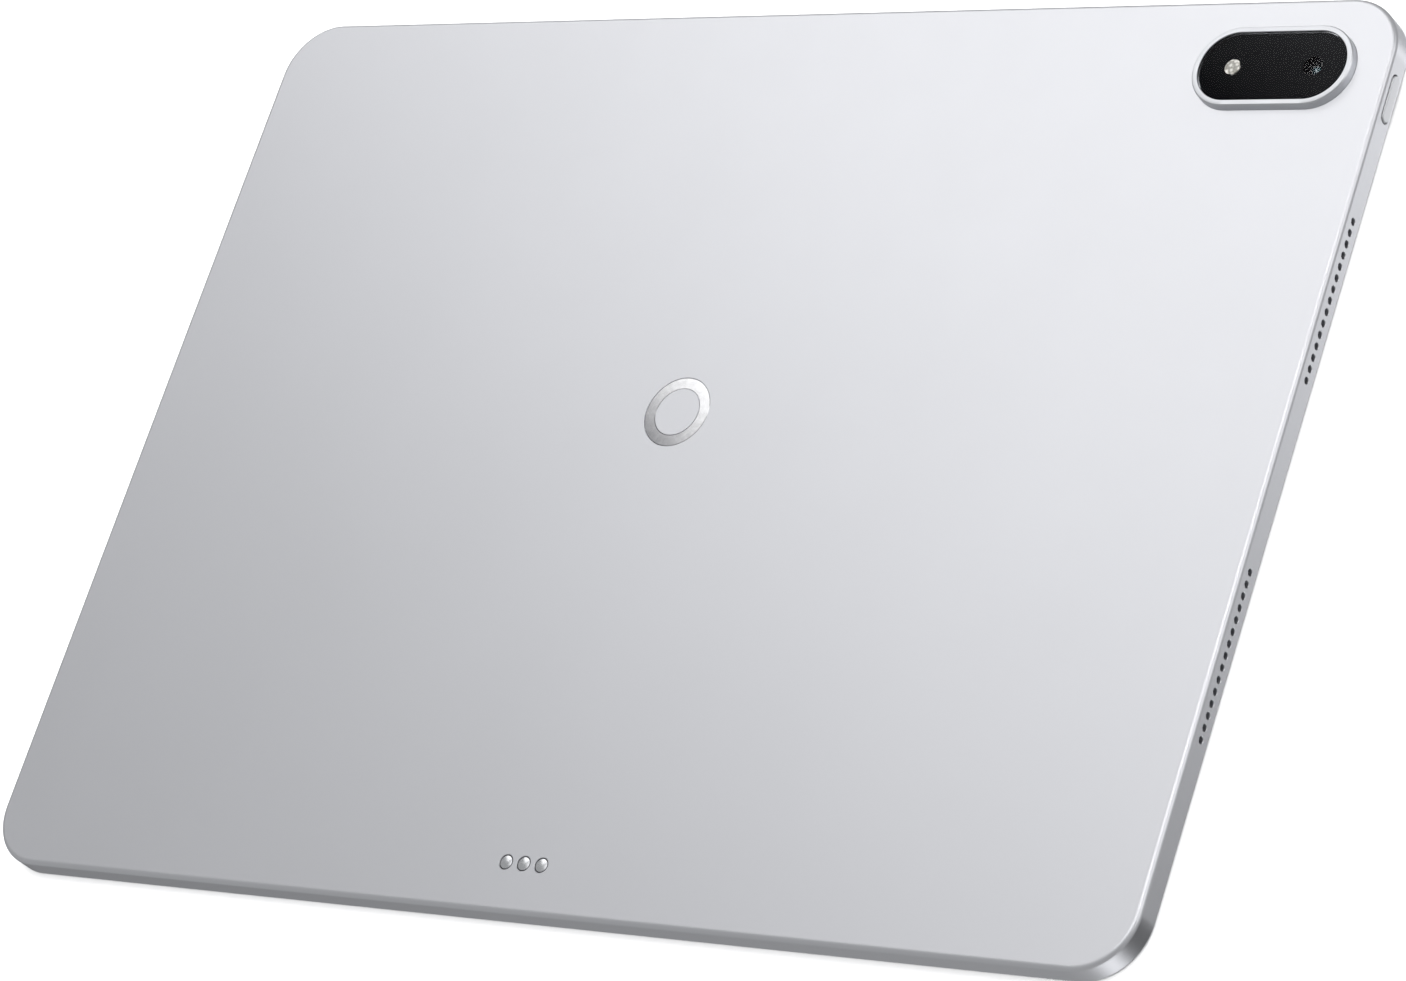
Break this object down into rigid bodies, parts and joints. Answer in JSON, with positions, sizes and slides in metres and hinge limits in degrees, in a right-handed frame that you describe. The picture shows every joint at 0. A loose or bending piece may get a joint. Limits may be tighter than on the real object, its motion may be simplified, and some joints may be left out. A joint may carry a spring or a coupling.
{
  "type": "tablet computer",
  "caption": "Thin metal-backed tablet computer with a camera island, side keys, sound holes, a data socket and keyboard contacts on its back.",
  "frame": {"origin": "centre of the display glass's outer face, on which the tablet lies", "axes": "+X along the long side towards the power button, +Y along the short side towards the volume rocker, +Z out of the back"},
  "size_m": [0.2899, 0.21, 0.008],
  "materials": {
    "blasted_aluminium": "fine-blasted, anodised silver, satin",
    "key_aluminium": "fine-blasted, anodised silver, satin",
    "ring_aluminium": "blasted with a bright cut edge",
    "polished_inlay": "polished mirror inlay",
    "contact_plating": "polished plating",
    "display_glass": "polished, black border behind",
    "window_glass": "polished, dark tinted",
    "lens_glass": "coated lens, teal glint",
    "liquid_crystal": "dark when switched off",
    "backlight_white": "white reflector tray",
    "diffuser": "frosted warm white",
    "black_ink": "matt black print",
    "black_plastic": "fine moulded",
    "speaker_plastic": "fine moulded",
    "driver_steel": "dark coated",
    "sound_mesh": "fine woven dust mesh",
    "seal_rubber": "matt",
    "circuit_board": "solder-masked board",
    "flex_film": "polyimide film",
    "thin_steel": "stamped sheet",
    "screw_steel": "plain",
    "battery_foil": "dark laminated foil",
    "tape": "stretch-release film",
    "thermal_silicone": "soft silicone",
    "graphite": "graphite sheet",
    "copper_coil": "enamelled copper",
    "magnet_nickel": "nickel-plated"
  },
  "bodies": {
    "tablet": {"rear_housing": "blasted_aluminium", "cover_glass": "display_glass", "display_gasket": "seal_rubber", "display_panel": "liquid_crystal", "backlight": "backlight_white", "display_board": "circuit_board", "display_flex": "flex_film", "camera_ring": "ring_aluminium", "camera_window": "window_glass", "camera_mask": "black_ink", "camera_module": "black_plastic", "camera_lens": "lens_glass", "flash_diffuser": "diffuser", "flash_board": "circuit_board", "emblem_inlay": "polished_inlay", "power_switch": "thin_steel", "power_bracket": "thin_steel", "volume_switches": "thin_steel", "volume_bracket": "thin_steel", "side_key_flexes": "flex_film", "usb_shell": "thin_steel", "usb_tongue": "black_plastic", "usb_board": "circuit_board", "usb_clamp": "thin_steel", "link_flex": "flex_film", "keyboard_contacts": "contact_plating", "contact_carrier": "black_plastic", "contact_flex": "flex_film", "speaker_right_upper": "speaker_plastic", "speaker_right_lower": "speaker_plastic", "speaker_left_upper": "speaker_plastic", "speaker_left_lower": "speaker_plastic", "woofers": "driver_steel", "tweeters": "driver_steel", "sound_meshes": "sound_mesh", "battery_left": "battery_foil", "battery_right": "battery_foil", "battery_tapes": "tape", "battery_board": "circuit_board", "main_board": "circuit_board", "processor_shield": "thin_steel", "radio_shield": "thin_steel", "thermal_pad": "thermal_silicone", "heat_spreader": "graphite", "front_camera": "black_plastic", "front_camera_lens": "lens_glass", "light_sensor": "black_plastic", "microphones": "thin_steel", "microphone_boots": "seal_rubber", "stylus_coil": "copper_coil", "stylus_magnets": "magnet_nickel", "cover_magnets": "magnet_nickel", "keyboard_magnets": "magnet_nickel", "antennas": "black_plastic", "board_screws": "screw_steel", "speaker_screws": "screw_steel"},
    "power_key": {"power_button": "key_aluminium"},
    "volume_key": {"volume_rocker": "key_aluminium"}
  },
  "joints": [
    {"name": "power_button_press", "type": "slide", "parent": "tablet", "child": "power_key", "axis": [-1, 0, 0], "range_m": [0, 0.00025], "stiffness_N_per_m": 2000, "springref_m": -0.0005},
    {"name": "volume_rocker_tilt", "type": "hinge", "parent": "tablet", "child": "volume_key", "pos_m": [0.1078, 0.10235, 0.0025], "axis": [0, 0, 1], "range_deg": [-1, 1], "stiffness_Nm_per_rad": 0.8}
  ]
}
